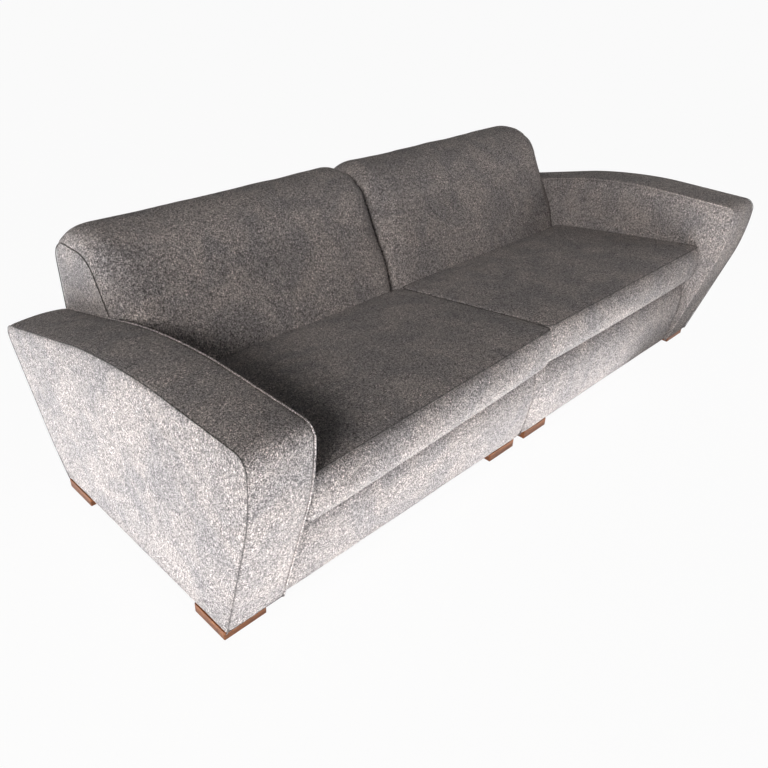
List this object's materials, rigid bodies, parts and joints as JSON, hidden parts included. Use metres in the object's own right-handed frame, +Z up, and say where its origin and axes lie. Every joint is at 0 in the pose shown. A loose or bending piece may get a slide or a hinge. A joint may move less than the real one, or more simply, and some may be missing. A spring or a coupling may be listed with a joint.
{
  "type": "sectional sofa",
  "caption": "Low two-unit sectional sofa with raked club arms, round-topped backs, loose seat cushions and square block feet; the units hook together under the seat.",
  "frame": {"origin": "centre of the footprint's bounding box, on the floor", "axes": "+X towards the right-hand unit as seen from the front, +Y to the rear, +Z up"},
  "size_m": [2.44, 1.1901, 0.768],
  "materials": {
    "upholstery": "heathered warm-grey chenille",
    "deck_cloth": "plain dark grey cloth over a pad",
    "dust_cloth": "thin black non-woven cloth",
    "plywood": "raw plywood",
    "timber": "sawn timber",
    "foot_wood": "warm brown satin varnish",
    "spring_steel": "drawn spring wire",
    "plated_steel": "zinc plated"
  },
  "bodies": {
    "left_module": {"left_arm_base_rail": "timber", "left_arm_cover": "upholstery", "left_arm_front_rail": "timber", "left_arm_inner_panel": "plywood", "left_arm_outer_panel": "plywood", "left_arm_rear_rail": "timber", "left_arm_top_rail": "timber", "left_back_cover": "upholstery", "left_back_formers": "plywood", "left_back_top_rail": "timber", "left_closing_panel": "upholstery", "left_connector": "plated_steel", "left_connector_screws": "plated_steel", "left_corner_blocks": "timber", "left_deck_pad": "deck_cloth", "left_dust_cover": "dust_cloth", "left_foot_bolts": "plated_steel", "left_front_border": "upholstery", "left_front_gap_foot": "foot_wood", "left_front_outer_foot": "foot_wood", "left_front_rail": "timber", "left_gap_panel": "plywood", "left_outside_back": "upholstery", "left_rear_gap_foot": "foot_wood", "left_rear_outer_foot": "foot_wood", "left_rear_rail": "timber", "left_seat_springs": "spring_steel", "left_spring_clips": "plated_steel", "left_spring_rail": "timber"},
    "right_module": {"right_arm_base_rail": "timber", "right_arm_cover": "upholstery", "right_arm_front_rail": "timber", "right_arm_inner_panel": "plywood", "right_arm_outer_panel": "plywood", "right_arm_rear_rail": "timber", "right_arm_top_rail": "timber", "right_back_cover": "upholstery", "right_back_formers": "plywood", "right_back_top_rail": "timber", "right_closing_panel": "upholstery", "right_connector": "plated_steel", "right_connector_screws": "plated_steel", "right_corner_blocks": "timber", "right_deck_pad": "deck_cloth", "right_dust_cover": "dust_cloth", "right_foot_bolts": "plated_steel", "right_front_border": "upholstery", "right_front_gap_foot": "foot_wood", "right_front_outer_foot": "foot_wood", "right_front_rail": "timber", "right_gap_panel": "plywood", "right_outside_back": "upholstery", "right_rear_gap_foot": "foot_wood", "right_rear_outer_foot": "foot_wood", "right_rear_rail": "timber", "right_seat_springs": "spring_steel", "right_spring_clips": "plated_steel", "right_spring_rail": "timber"},
    "left_cushion": {"left_seat_cushion": "upholstery"},
    "right_cushion": {"right_seat_cushion": "upholstery"}
  },
  "joints": [
    {"name": "section_slide", "type": "slide", "parent": "left_module", "child": "right_module", "axis": [1, 0, 0], "range_m": [0, 0.3]},
    {"name": "left_cushion_lift", "type": "slide", "parent": "left_module", "child": "left_cushion", "axis": [0, 0, 1], "range_m": [0, 0.25]},
    {"name": "right_cushion_lift", "type": "slide", "parent": "right_module", "child": "right_cushion", "axis": [0, 0, 1], "range_m": [0, 0.25]}
  ]
}
